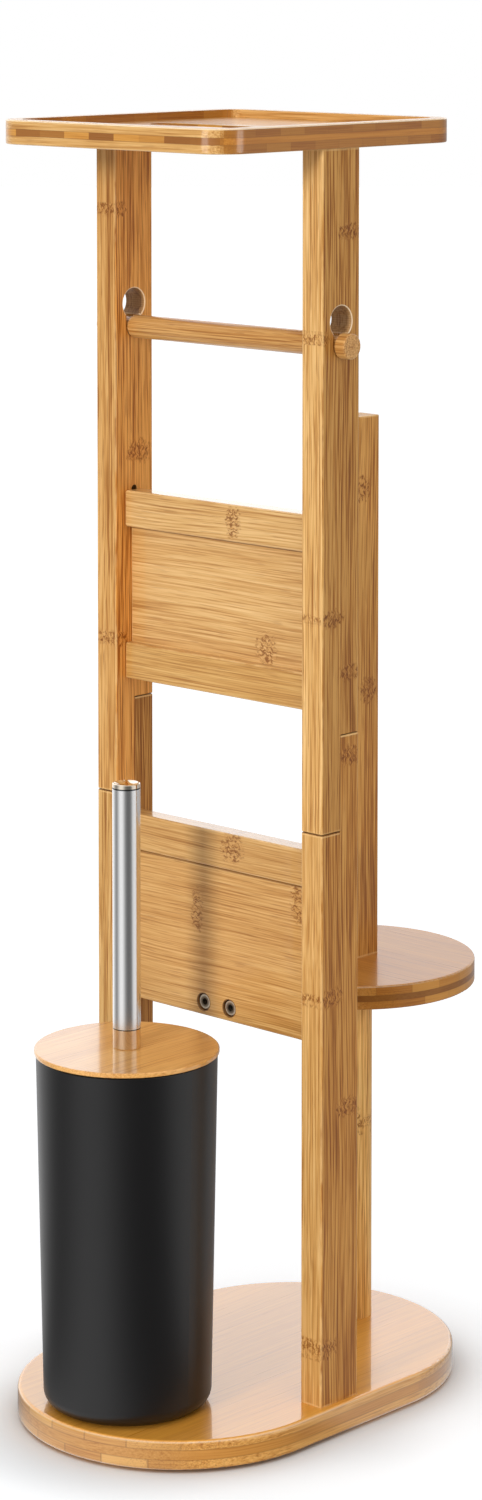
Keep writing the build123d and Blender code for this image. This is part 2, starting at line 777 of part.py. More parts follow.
# Head: a moulded core with a socket for the stem, and the bristles round it as one plain form
with BuildPart() as brush_head:
    with BuildSketch(brush_plane):
        with BuildLine():
            Line((0, head_bottom), (head_diameter / 4, head_bottom))
            ThreePointArc(
                (head_diameter / 4, head_bottom),
                (
                    head_diameter / 4 + head_diameter / 4 / sqrt(2),
                    head_bottom + head_diameter / 4 - head_diameter / 4 / sqrt(2),
                ),
                (head_diameter / 2, head_bottom + head_diameter / 4),
            )
            Polyline(
                (head_diameter / 2, head_bottom + head_diameter / 4),
                (head_diameter / 2, head_top),
                (stem_diameter / 2 + fit_gap, head_top),
                (stem_diameter / 2 + fit_gap, stem_bottom - fit_gap),
                (0, stem_bottom - fit_gap),
                (0, head_bottom),
            )
        make_face()
    revolve(axis=brush_axis)

with BuildPart() as bristles:
    bristle_bottom = head_bottom + head_diameter / 4
    bristle_top = head_top - 2
    with BuildSketch(Plane.XY.offset(bristle_bottom)):
        with Locations((0, brush_centre_y)):
            Circle(bristle_diameter / 2)
            Circle(head_diameter / 2, mode=Mode.SUBTRACT)
    extrude(amount=bristle_top - bristle_bottom)
    fillet(outer_rims(bristles, bristle_diameter / 2).group_by(Axis.Z)[0], bristle_round)

pieces = {
    "base_board": base_board,
    "foot_pads": foot_pads,
    "base_screws": base_screws,
    "lower_post_left": lower_post_left,
    "lower_post_right": lower_post_right,
    "upper_post_left": upper_post_left,
    "upper_post_right": upper_post_right,
    "lap_bolts": lap_bolts,
    "lap_sleeves": lap_sleeves,
    "upper_panel_top_rail": upper_panel_top_rail,
    "upper_panel_board": upper_panel_board,
    "upper_panel_bottom_rail": upper_panel_bottom_rail,
    "lower_panel_top_rail": lower_panel_top_rail,
    "lower_panel_board": lower_panel_board,
    "panel_dowels": panel_dowels,
    "tray": tray,
    "tray_dowels": tray_dowels,
    "roll_rod": roll_rod,
    "rear_shelf": rear_shelf,
    "shelf_bolts": shelf_bolts,
    "shelf_sleeves": shelf_sleeves,
    "rear_leg": rear_leg,
    "spare_roll_peg": spare_roll_peg,
    "peg_stud": peg_stud,
    "brush_cup": brush_cup,
    "brush_lid": brush_lid,
    "handle_ferrule": handle_ferrule,
    "handle_tube": handle_tube,
    "handle_cap": handle_cap,
    "brush_stem": brush_stem,
    "brush_head": brush_head,
    "bristles": bristles,
}
os.makedirs("parts", exist_ok=True)
for name, piece in pieces.items():
    piece.part.label = name
    export_step(piece.part, f"parts/{name}.step")
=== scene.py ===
import math
import random

import bmesh
import bpy
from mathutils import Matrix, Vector

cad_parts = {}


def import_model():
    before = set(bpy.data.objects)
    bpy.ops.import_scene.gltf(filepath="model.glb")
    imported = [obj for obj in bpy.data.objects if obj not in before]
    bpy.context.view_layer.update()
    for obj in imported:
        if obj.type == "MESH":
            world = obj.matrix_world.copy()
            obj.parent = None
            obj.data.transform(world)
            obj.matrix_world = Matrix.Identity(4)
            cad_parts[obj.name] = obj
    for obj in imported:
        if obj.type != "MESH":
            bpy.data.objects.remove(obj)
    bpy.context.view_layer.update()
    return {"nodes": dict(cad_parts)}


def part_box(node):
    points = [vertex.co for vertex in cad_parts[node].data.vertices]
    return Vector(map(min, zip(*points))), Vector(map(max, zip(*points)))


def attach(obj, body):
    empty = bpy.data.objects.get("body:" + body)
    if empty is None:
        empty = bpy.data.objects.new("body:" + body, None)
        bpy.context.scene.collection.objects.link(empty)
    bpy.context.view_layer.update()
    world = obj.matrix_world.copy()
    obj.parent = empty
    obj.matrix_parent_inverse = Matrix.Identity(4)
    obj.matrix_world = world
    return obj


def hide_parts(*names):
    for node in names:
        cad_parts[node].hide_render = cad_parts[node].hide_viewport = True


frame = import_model()
nodes = frame["nodes"]
MM = 0.001


# Colour

def srgb(r, g, b):
    """A colour given as 0 to 255 screen values, as linear colour."""
    out = []
    for v in (r, g, b):
        v /= 255
        out.append(v / 12.92 if v <= 0.04045 else ((v + 0.055) / 1.055) ** 2.4)
    return (*out, 1.0)


# A small writer of shader nodes

class Shader:
    def __init__(self, owner, output):
        owner.use_nodes = True
        self.owner = owner
        self.tree = owner.node_tree
        self.tree.nodes.clear()
        self.out = self.node(output)

    def node(self, kind, **settings):
        made = self.tree.nodes.new(kind)
        for key, value in settings.items():
            setattr(made, key, value)
        return made

    def put(self, socket, value):
        if isinstance(value, bpy.types.NodeSocket):
            self.tree.links.new(value, socket)
        elif value is not None:
            socket.default_value = value

    def math(self, op, a, b=None):
        made = self.node("ShaderNodeMath", operation=op)
        for socket, value in zip(made.inputs, (a, b)):
            self.put(socket, value)
        return made.outputs[0]

    def add(self, a, b):
        return self.math("ADD", a, b)

    def sub(self, a, b):
        return self.math("SUBTRACT", a, b)

    def mul(self, a, b):
        return self.math("MULTIPLY", a, b)

    def swing(self, value, size):
        """How far value lies from 0.5, times size."""
        return self.mul(self.sub(value, 0.5), size)

    def vec(self, x, y, z):
        made = self.node("ShaderNodeCombineXYZ")
        for socket, value in zip(made.inputs, (x, y, z)):
            self.put(socket, value)
        return made.outputs[0]

    def split(self, vector):
        made = self.node("ShaderNodeSeparateXYZ")
        self.put(made.inputs[0], vector)
        return made.outputs

    def stretch(self, place, scales):
        """A vector of the place's three parts, each times its own scale."""
        return self.vec(*(self.mul(part, scale) for part, scale in zip(place, scales)))

    def length(self, x, y):
        made = self.node("ShaderNodeVectorMath", operation="LENGTH")
        self.put(made.inputs[0], self.vec(x, y, 0.0))
        return made.outputs["Value"]

    def place(self):
        """The point's place in the part's own frame, in metres."""
        return self.split(self.node("ShaderNodeTexCoord").outputs["Object"])

    def normal(self):
        return self.split(self.node("ShaderNodeNewGeometry").outputs["True Normal"])

    def facing(self):
        """The sizes of the surface normal's three parts."""
        return [self.math("ABSOLUTE", part) for part in self.normal()]

    def noise(self, vector, scale=1.0, detail=2.0, rough=0.5, bend=0.0):
        made = self.node("ShaderNodeTexNoise")
        self.put(made.inputs["Vector"], vector)
        self.put(made.inputs["Scale"], scale)
        self.put(made.inputs["Detail"], detail)
        self.put(made.inputs["Roughness"], rough)
        self.put(made.inputs["Distortion"], bend)
        return made.outputs["Fac"]

    def chance(self, vector):
        made = self.node("ShaderNodeTexWhiteNoise")
        self.put(made.inputs["Vector"], vector)
        return made.outputs["Value"]

    def step(self, value, low, high):
        """A smooth step from 0 to 1, as value goes from low to high."""
        made = self.node("ShaderNodeMapRange", interpolation_type="SMOOTHSTEP")
        for socket, part in zip(made.inputs, (value, low, high)):
            self.put(socket, part)
        return made.outputs[0]

    def ramp(self, value, stops, smooth=True):
        made = self.node("ShaderNodeValToRGB")
        made.color_ramp.interpolation = "B_SPLINE" if smooth else "LINEAR"
        while len(made.color_ramp.elements) < len(stops):
            made.color_ramp.elements.new(0.5)
        for element, (at, colour) in zip(made.color_ramp.elements, stops):
            element.position = at
            element.color = colour
        self.put(made.inputs[0], value)
        return made.outputs[0]

    def mix(self, share, a, b, kind="MIX"):
        """Mixes two colours, through the colour sockets of a mix node."""
        made = self.node("ShaderNodeMix", data_type="RGBA", blend_type=kind, clamp_factor=True)
        self.put(made.inputs[0], share)
        self.put(made.inputs[6], a)
        self.put(made.inputs[7], b)
        return made.outputs[2]

    def bump(self, height, depth, strength):
        made = self.node("ShaderNodeBump")
        made.inputs["Strength"].default_value = strength
        made.inputs["Distance"].default_value = depth
        self.put(made.inputs["Height"], height)
        return made.outputs[0]

    def finish(self, colour, rough, normal=None, **constants):
        """Closes a material. constants name the surface's sockets, with _ in place of a space."""
        made = self.node("ShaderNodeBsdfPrincipled")
        self.put(made.inputs["Base Color"], colour)
        self.put(made.inputs["Roughness"], rough)
        self.put(made.inputs["Normal"], normal)
        for key, value in constants.items():
            made.inputs[key.replace("_", " ")].default_value = value
        self.put(self.out.inputs[0], made.outputs[0])
        return self.owner


def material(name):
    return Shader(bpy.data.materials.new(name), "ShaderNodeOutputMaterial")


def part_of(values, letter):
    """The X, Y or Z part of three values."""
    return values["XYZ".index(letter)]


def tinted(s, colour, tint):
    return s.mix(1.0, colour, (*tint, 1), "MULTIPLY")


def largest(s, masks):
    whole = masks[0]
    for mask in masks[1:]:
        whole = s.math("MAXIMUM", whole, mask)
    return whole


def band(s, value, low, high, soft=0.0002):
    """A mask of the places where value lies between low and high."""
    return s.mul(s.step(value, low - soft, low + soft), s.step(value, high + soft, high - soft))


def patches(s, place, boxes):
    """A mask of places in boxes. Each gives its three ranges in millimetres, or None, and a strength."""
    masks = []
    for *ranges, strength in boxes:
        here = strength
        for value, limits in zip(place, ranges):
            if limits:
                here = s.mul(here, band(s, value, limits[0] * MM, limits[1] * MM))
        masks.append(here)
    return largest(s, masks)


def off_axis(s, place, axis, centre):
    """How far a point is from a line along an axis, through a centre given in millimetres."""
    a, b = (value for letter, value in zip("XYZ", place) if letter != axis)
    return s.length(s.sub(a, centre[0] * MM), s.sub(b, centre[1] * MM))


# Bamboo: its fibres' tones, its glue lines, painted shade for bores and the gaps under rails, its nodes'
# fibres, and a painted highlight for lit edges
PALE = srgb(234, 190, 126)
HONEY = srgb(216, 167, 99)
AMBER = srgb(199, 144, 76)
BROWN = srgb(140, 84, 34)
# This brown is the glue lines' colour, and also painted shade in bores, holes and under rails
GLUE_AND_SHADE = srgb(100, 58, 22)
FLECK = srgb(136, 80, 30)
# This near-white is a painted highlight on lit edges, rims and joints
PAINTED_HIGHLIGHT = srgb(255, 240, 208)

# The grain's tones, from its darkest fibres to its palest
TONES = [(0.0, BROWN), (0.3, AMBER), (0.52, HONEY), (0.8, PALE)]

# What the strips' sides keep of a tone
SIDE = (0.84, 0.68, 0.44)

# How often each layer of the grain changes in a metre, along, across and into the wood
FINE = (15, 950, 950)
DASHES = (48, 1200, 1200)
MIDDLE = (5, 260, 260)
BROAD = (2.5, 50, 50)
NODE_FIBRES = (330, 720, 720)


def inside_marks(s, along, across, marks):
    """How far a point lies inside one of the bamboo's node marks, 0 to 1, with ragged edges."""
    masks = []
    for at, off, long, wide in marks:
        near = s.length(
            s.mul(s.sub(along, at * MM), 1 / (long * MM)),
            s.mul(s.sub(across, off * MM), 1 / (wide * MM)),
        )
        ragged = s.noise(s.vec(s.mul(along, 260), s.mul(across, 420), at * 0.37))
        masks.append(s.step(s.add(near, s.swing(ragged, 1.6)), 1.25, 0.65))
    return largest(s, masks)


def grain(s, along, across, depth, seed, strip, ply, contrast, marks=(), gain=None):
    """Bamboo strips: the colour, and a height for the bump. All places are in metres."""
    mask = inside_marks(s, along, across, marks) if marks else None
    bend = s.mul(mask, 0.8) if marks else 0.0
    row = s.math("FLOOR", s.add(s.math("DIVIDE", across, strip), seed * 0.37))
    layer = s.math("FLOOR", s.add(s.math("DIVIDE", depth, ply), seed * 0.21))
    luck = s.chance(s.vec(row, layer, seed))
    wander = s.noise(s.vec(s.mul(along, 4.5), s.mul(across, 14), seed), detail=1)
    across = s.add(across, s.swing(wander, 0.009))
    place = (s.add(along, luck), across, depth)
    fine = s.noise(s.stretch(place, FINE), rough=0.55, bend=bend)
    dash = s.noise(s.stretch(place, DASHES), detail=1, bend=bend)
    middle = s.noise(s.stretch(place, MIDDLE))
    broad = s.noise(s.stretch(place, BROAD), detail=1)
    tone = s.swing(fine, 1.55 * contrast)
    for part, size in ((middle, 0.38 * contrast), (broad, 0.25 * contrast), (luck, 0.16)):
        tone = s.add(tone, s.swing(part, size))
    if gain:
        tone = s.mul(tone, gain)
    colour = s.ramp(s.add(tone, 0.5), TONES)
    colour = s.mix(s.mul(s.step(dash, 0.58, 0.7), 0.34 * contrast), colour, BROWN)
    if marks:
        # A node's fibres show as short wavy flecks along the grain, in a ragged band across it
        waved = s.add(across, s.mul(s.math("SINE", s.mul(along, 1500)), 0.0004))
        fleck = s.noise(s.stretch((along, waved, depth), NODE_FIBRES), rough=0.6, bend=0.5)
        dark = s.mul(s.step(fleck, 0.45, 0.6), mask)
        light = s.mul(s.step(fleck, 0.44, 0.36), mask)
        colour = s.mix(s.mul(mask, 0.4), colour, AMBER)
        colour = s.mix(s.mul(dark, 0.9), colour, FLECK)
        colour = s.mix(s.mul(light, 0.35), colour, PALE)
        fine = s.sub(fine, s.mul(dark, 0.5))
    return colour, fine


def edge_wear_and_highlight(s, place, box):
    """A broken mask along the edges of a box-shaped piece, for lighter worn wood and a painted highlight."""
    reach = 0.0015
    low, high = box
    gaps = []
    for value, least, most in zip(place, low, high):
        gaps.append(s.math("MINIMUM", s.sub(value, least), s.sub(most, value)))
    a, b, c = gaps
    second = s.math("MAXIMUM", s.math("MINIMUM", a, b), s.math("MINIMUM", s.math("MAXIMUM", a, b), c))
    broken = s.noise(s.stretch(place, (45, 45, 30)), detail=3, rough=0.65)
    return s.mul(s.step(second, reach, reach * 0.4), s.step(broken, 0.36, 0.6))


def bamboo(
    name, axes, seed, strip, ply, contrast=1.0, marks=(), tint=(1, 1, 1), side=None, shade=1.0,
    coat=0.0, rough=0.42, box=None, dark=(), light=(), holes=(), rims=(),
):
    """Bamboo with one direction of grain. axes run along, across and into it.

    side darkens the faces that look along that axis. holes are bored along an axis, with painted shade
    on their walls, and rims get a painted highlight round their edges. dark are boxes of dark joint
    lines and painted shade, and light are boxes of painted highlight.
    """
    s = material(name)
    place = s.place()
    along, across, depth = (part_of(place, letter) for letter in axes)
    share = s.step(part_of(s.facing(), side), 0.45, 0.8) if side else None
    gain = s.add(1.0, s.mul(share, 0.7)) if side else None
    colour, height = grain(s, along, across, depth, seed, strip, ply, contrast, marks, gain)
    if side:
        colour = s.mix(share, colour, tinted(s, colour, [part * shade for part in SIDE]))
    if tint != (1, 1, 1):
        colour = tinted(s, colour, tint)
    gloss = s.add(s.mul(height, 0.12), rough - 0.06)
    if box:
        # The edges are painted paler: worn wood, and a painted highlight where light catches them
        wear_and_highlight = edge_wear_and_highlight(s, place, box)
        colour = s.mix(s.mul(wear_and_highlight, 0.6), colour, PALE)
        gloss = s.sub(gloss, s.mul(wear_and_highlight, 0.12))
    for axis, centre, radius in holes:
        # Painted shade on each bore's wall
        wall = s.step(off_axis(s, place, axis, centre), (radius + 0.1) * MM, (radius - 0.1) * MM)
        colour = s.mix(s.mul(wall, 0.75), colour, GLUE_AND_SHADE)
    for axis, centre, radius, wide in rims:
        # A painted highlight round each rim
        ring = band(s, off_axis(s, place, axis, centre), (radius + 0.1) * MM, (radius + wide) * MM)
        colour = s.mix(s.mul(ring, 0.65), colour, PAINTED_HIGHLIGHT)
    # dark boxes are dark joint lines and painted shade, and light boxes are a painted highlight
    if dark:
        colour = s.mix(patches(s, place, dark), colour, GLUE_AND_SHADE)
    if light:
        colour = s.mix(patches(s, place, light), colour, PALE)
    return s.finish(
        colour, gloss, s.bump(height, 0.00012, 0.7), Coat_Weight=coat, Coat_Roughness=0.1,
        Specular_IOR_Level=0.28,
    )


def plied(
    name, axes, seed, low, high, plies, strip, block, contrast, top, end, core_end, core_long,
    joints, patchy, flank=(1, 1, 1), coat=1.0, coat_ior=1.5, rim_highlight=0.3, specular=0.3, calm=0.3,
):
    """A board of crossed plies. Its top shows the outer plies' grain and its edge shows them all.

    plies are the two levels between them, as shares of the thickness. strip and block are the widths
    of the outer plies' strips and of the blocks in the ply between them. end and flank tint the outer
    plies on the edges across and along their grain, and core_end and core_long do so for the ply
    between them, whose grain runs the other way.
    """
    s = material(name)
    place = s.place()
    z = place[2]
    along, across = (part_of(place, letter) for letter in axes)
    facing = s.facing()
    f_along, f_across = (part_of(facing, letter) for letter in axes)
    up = facing[2]
    surface, height = grain(s, along, across, z, seed, strip, 0.006, contrast)
    level = s.mul(s.sub(z, low), 1 / (high - low))
    first, second = plies
    middle = (first + second) / 2
    # Cut ends show blocks with fine level lines, each block with a tone of its own
    lines = s.swing(s.noise(s.stretch(place, (28, 28, 1500)), rough=0.6), 0.8)
    above = s.step(level, middle - 0.01, middle + 0.01)
    strip_at = s.add(s.math("DIVIDE", across, strip), s.add(seed * 0.37, s.mul(above, 0.43)))
    luck = s.chance(s.vec(s.math("FLOOR", strip_at), s.mul(above, 7.0), seed))
    tone = s.add(s.add(lines, 0.55), s.swing(luck, 0.42))
    ends = tinted(s, s.ramp(tone, TONES), end)
    joint = s.math("ABSOLUTE", s.sub(s.math("FRACT", strip_at), 0.5))
    ends = s.mix(s.mul(s.step(joint, 0.47, 0.495), joints), ends, GLUE_AND_SHADE)
    outer = s.mix(s.step(f_along, 0.6, 0.8), tinted(s, surface, flank), ends)
    # Edges cut aslant towards the right show the fibres' tips as dots
    slanted = s.mul(s.step(f_along, 0.35, 0.6), s.step(f_along, 0.97, 0.85))
    slanted = s.mul(slanted, s.step(s.normal()[0], 0.25, 0.5))
    speck = s.noise(s.stretch(place, (900, 900, 1300)), detail=1)
    outer = s.mix(s.mul(s.mul(slanted, s.step(speck, 0.53, 0.6)), 0.3), outer, BROWN)
    # The ply between them has its blocks where the outer plies have their long grain
    inner, _ = grain(s, across, along, z, seed + 5.3, block, 0.03, contrast * 0.6)
    cell = s.math("FLOOR", s.add(s.math("DIVIDE", along, block), seed * 0.13))
    luck = s.chance(s.vec(cell, seed, 3.1))
    blocks = tinted(s, s.ramp(s.add(lines, 0.55), TONES), core_end)
    blocks = s.mix(s.mul(s.step(luck, 0.35, 0.8), patchy), blocks, BROWN)
    inner = s.mix(s.step(f_across, 0.6, 0.8), tinted(s, inner, core_long), blocks)
    colour = s.mix(band(s, level, first, second, 0.01), outer, inner)
    # Dark glue lines part the plies, and the upper edge gets a painted highlight
    near = s.math("MINIMUM", *(s.math("ABSOLUTE", s.sub(level, at)) for at in plies))
    colour = s.mix(s.mul(s.step(near, 0.035, 0.0), 0.32), colour, GLUE_AND_SHADE)
    rim = s.mul(s.step(level, 0.9, 0.97), s.step(up, 0.1, 0.35))
    colour = s.mix(s.mul(rim, rim_highlight), colour, PAINTED_HIGHLIGHT)
    level_top = s.mix(calm, surface, HONEY)
    colour = s.mix(s.step(up, 0.55, 0.9), colour, tinted(s, level_top, top))
    return s.finish(
        colour, s.add(s.mul(height, 0.12), 0.24), s.bump(height, 0.00008, 0.35),
        Coat_Weight=coat, Coat_Roughness=0.04, Coat_IOR=coat_ior, Specular_IOR_Level=specular,
    )


# Metals, plastics and rubber
GAP_SHADE = (0.02, 0.02, 0.022, 1)
HEAD_RADIUS = 6


def steel(name, colour, rough, brush=0.0, rings=(), scratch=0.3):
    """Steel, brushed along its upright axis. rings are bands of painted shade round it at its joints, in
    millimetres.
    """
    s = material(name)
    place = s.place()
    lines = s.noise(s.stretch(place, (900, 900, 7)))
    patch = s.noise(s.stretch(place, (60, 60, 40)))
    tone = s.mix(s.mul(lines, brush), colour, tinted(s, colour, (0.82, 0.82, 0.83)))
    for low, high in rings:
        # Painted shade in the joint's gap
        tone = s.mix(s.mul(band(s, place[2], low * MM, high * MM, 0.0001), 0.9), tone, GAP_SHADE)
    gloss = s.add(s.add(s.swing(lines, 0.1 * brush), s.swing(patch, 0.02)), rough)
    return s.finish(tone, gloss, s.bump(lines, 0.000004, scratch * brush), Metallic=1.0)


def painted_bolt_heads(name, x_off, z_at):
    """Two bolt heads in a row, with painted light and shade: painted shade in the socket, a flat ring, a
    painted highlight on the bevel and painted shade in the gap round it.
    """
    s = material(name)
    place = s.place()
    x, y, z = place
    away = off_axis(s, (s.math("ABSOLUTE", x), y, z), "Y", (x_off, z_at))
    # These tones paint shade in the socket and the gap, and a highlight on the bevel
    tone = s.ramp(s.mul(away, 1 / (HEAD_RADIUS * MM)), [
        (0.28, srgb(40, 32, 25)), (0.4, srgb(150, 136, 116)), (0.52, srgb(130, 116, 98)),
        (0.65, srgb(255, 246, 226)), (0.74, srgb(255, 240, 216)), (0.82, srgb(36, 28, 20)),
    ])
    lines = s.noise(s.stretch(place, (900, 900, 900)))
    return s.finish(tone, s.add(s.mul(lines, 0.12), 0.36), s.bump(lines, 0.000006, 0.3), Metallic=0.85)


def plastic(name, colour, rough, texture=2600, depth=0.00004):
    """Moulded plastic with a fine spark-eroded texture."""
    s = material(name)
    place = s.vec(*s.place())
    pores = s.noise(place, texture)
    cloud = s.noise(place, 30)
    tone = s.mix(s.mul(cloud, 0.3), colour, tinted(s, colour, (0.75, 0.75, 0.75)))
    gloss = s.add(s.add(s.swing(pores, 0.1), s.swing(cloud, 0.06)), rough)
    return s.finish(tone, gloss, s.bump(pores, depth, 0.5))


def dress(name, material):
    """Gives a CAD node its material."""
    node = nodes[name]
    if not node.material_slots:
        node.data.materials.append(material)
    for place in node.material_slots:
        place.material = material


def box_of(name):
    low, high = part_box(name)
    return tuple(low), tuple(high)


# Node marks: place along and across the grain, half length and half width, in millimetres
right_post_marks = [
    (503, -20, 5, 10), (468.7, -4.5, 5, 9), (418, -3.5, 6, 9), (672, -27, 4, 5), (735, -5, 5, 10),
    (271.8, -20, 6, 10), (201.3, -4, 6, 10), (55, -23, 6, 9),
]
left_post_marks = [(741, -25, 5, 6), (588, -8, 7, 10), (470, -25, 5, 7), (170, -22, 5, 8)]

# The half laps' joints: a dark line at each end and the split between, and a painted highlight below each
lap_dark = [
    (None, (-29, -12), (371.8, 372.7), 0.75), (None, (-12, 5), (430.8, 431.6), 0.75),
    (None, (-12.3, -11.8), (372, 431.4), 0.4),
]
lap_light = [(None, (-29, -12.5), (370.8, 371.6), 0.6), (None, (-11.5, 5), (429.8, 430.6), 0.6)]

# The keyholes' round hole and two rounds down the slot, as axis, centre and radius, in millimetres.
# Their walls get painted shade, and the round hole's rim gets a painted highlight
keyhole = [("X", (-12, 681.5), 9.5), ("X", (-12, 671), 6.3), ("X", (-12, 667), 6.3)]
keyhole_rims = [("X", (-12, 681.5), 9.5, 0.7)]
# The tints are partly painted shade: the left and lower posts are darker where the light falls off. shade
# sets how much darker each post's sides are, matched to how light falls on them: painted light and shade
wood = {
    # Each upper post's dark box of strength 0.8 is painted shade on the walls of the small hole above the
    # rail
    "upper_post_left": dict(
        seed=1.965, contrast=1.35, marks=left_post_marks, tint=(0.9, 0.83, 0.75), shade=1.4,
        holes=keyhole, rims=keyhole_rims, dark=lap_dark + [((-94, -79.5), (-15, -9), (561, 567), 0.8)],
        light=lap_light,
    ),
    "upper_post_right": dict(
        seed=4.668, contrast=1.25, marks=right_post_marks, tint=(1.03, 1.04, 1.07), shade=0.84,
        holes=keyhole, rims=keyhole_rims, dark=lap_dark + [((79.5, 94), (-15, -9), (561, 567), 0.8)],
        light=lap_light,
    ),
    "lower_post_left": dict(
        seed=7.37, contrast=1.35, marks=left_post_marks, tint=(0.9, 0.9, 0.9), dark=lap_dark, light=lap_light,
    ),
    "lower_post_right": dict(
        seed=10.073, marks=right_post_marks, tint=(0.95, 0.93, 0.91), shade=0.97, dark=lap_dark,
        light=lap_light,
    ),
    "spare_roll_peg": dict(seed=6.6, contrast=1.1, marks=[(560, 105, 8, 8), (430, 112, 8, 8)]),
}
for name, choice in wood.items():
    dress(name, bamboo(
        "bamboo_" + name, "ZYX", strip=0.0165, ply=0.0085, side="X", box=box_of(name), **choice,
    ))

# The lower panel's bores round its two bolts, with painted shade on their walls
bored = [("Y", (-11, 249), 5.9), ("Y", (11, 249), 5.9)]
# The tints are partly painted light: the lower panel and the upper bottom rail are darker where the light
# falls off, and the upper board and top rail lighter and bluer, a painted veil of reflected light
panels = {
    "upper_panel_top_rail": dict(
        seed=2.3, strip=0.024, marks=[(15, 553, 6, 11)], tint=(1.0, 1.03, 1.1),
    ),
    "upper_panel_board": dict(
        seed=3.9, strip=0.022, contrast=0.85, marks=[(38, 476, 8, 10)], tint=(1.03, 1.06, 1.15),
        # A painted shadow under the top rail
        dark=[(None, None, (539.4, 541.5), 0.6)],
    ),
    "upper_panel_bottom_rail": dict(seed=6.2, strip=0.024, contrast=0.9, tint=(0.92, 0.9, 0.8)),
    "lower_panel_top_rail": dict(
        seed=5.1, strip=0.024, marks=[(14, 350, 9, 9)], tint=(0.86, 0.83, 0.78),
    ),
    "lower_panel_board": dict(
        seed=8.6, strip=0.023, contrast=0.95, marks=[(-16.6, 306, 5, 12), (70, 325, 7, 12)],
        # A painted shadow under the top rail, and painted shade on the bores' walls
        tint=(0.9, 0.86, 0.8), holes=bored, dark=[(None, None, (334.8, 336.2), 0.55)],
    ),
}
for name, choice in panels.items():
    dress(name, bamboo("bamboo_" + name, "XZY", ply=0.014, box=box_of(name), coat=1.0, **choice))
dress("rear_leg", bamboo(
    "bamboo_leg", "ZXY", 3.3, 0.012, 0.012, 1.3, marks=[(150, 6, 8, 8)], tint=(1.2, 1.2, 1.05),
))
dress("roll_rod", bamboo("bamboo_rod", "XYZ", 2.9, 0.009, 0.009, 1.2, tint=(0.86, 0.77, 0.66), coat=0.5))
dress("brush_lid", bamboo(
    "bamboo_lid", "YXZ", 5.8, 0.021, 0.004, 0.6, tint=(1.12, 1.02, 0.86), coat=0.9, rough=0.3,
))
dress("tray", plied(
    "bamboo_tray", "XY", 4.7, 0.785, 0.8, (0.36, 0.64), 0.021, 0.021, 0.8,
    top=(0.9, 0.8, 0.6), end=(0.55, 0.36, 0.13), core_end=(0.86, 0.68, 0.36),
    core_long=(0.72, 0.48, 0.17), joints=0.12, coat=0.5, rim_highlight=0.75, patchy=0.9,
))
dress("rear_shelf", plied(
    "bamboo_shelf", "XY", 7.3, 0.2415, 0.2565, (0.36, 0.6), 0.021, 0.024, 0.8,
    top=(0.84, 0.62, 0.34), flank=(0.9, 0.74, 0.46), end=(0.75, 0.54, 0.24), core_end=(0.36, 0.22, 0.08),
    core_long=(0.4, 0.25, 0.09), joints=0.15, coat=0.4, specular=0.12, patchy=0.5,
))
dress("base_board", plied(
    "bamboo_base", "YX", 2.6, 0.0015, 0.0195, (0.36, 0.7), 0.027, 0.034, 0.9,
    top=(1.17, 0.92, 0.38), flank=(1.0, 0.87, 0.6), end=(0.86, 0.76, 0.56), core_end=(0.8, 0.6, 0.3),
    core_long=(0.76, 0.62, 0.38), joints=0.4, coat_ior=1.6, rim_highlight=0.4, calm=0.65, patchy=0.15,
))
dress("panel_dowels", bamboo("beech_panel_dowels", "XYZ", 1.1, 0.006, 0.006, 0.5))
dress("tray_dowels", bamboo("beech_tray_dowels", "ZXY", 1.3, 0.006, 0.006, 0.5))
bolt_steel = steel("bolt_steel", srgb(214, 200, 176), 0.42, 0.3)
dress("shelf_bolts", painted_bolt_heads("bolt_heads", 11, 249))
for name in ("lap_bolts", "base_screws", "peg_stud"):
    dress(name, bolt_steel)
sleeve_zinc = steel("sleeve_zinc", srgb(190, 190, 188), 0.35, 0.4)
dress("lap_sleeves", sleeve_zinc)
dress("shelf_sleeves", sleeve_zinc)
dress("foot_pads", plastic("pad_rubber", srgb(40, 40, 40), 0.75, 1500, 0.00008))
dress("brush_cup", plastic("cup_plastic", srgb(13, 12, 13), 0.38))
black_plastic = plastic("brush_plastic", srgb(30, 30, 30), 0.35)
dress("brush_stem", black_plastic)
dress("brush_head", black_plastic)
dress("handle_tube", steel(
    "handle_steel", srgb(236, 236, 236), 0.22, 0.12, rings=[(398.2, 399.3)], scratch=0.0,
))
polished = steel("polished_steel", srgb(234, 222, 204), 0.06, rings=[(251.0, 251.8)])
dress("handle_ferrule", polished)
dress("handle_cap", polished)


# Bristles: tufts of bent nylon strands set round the brush head

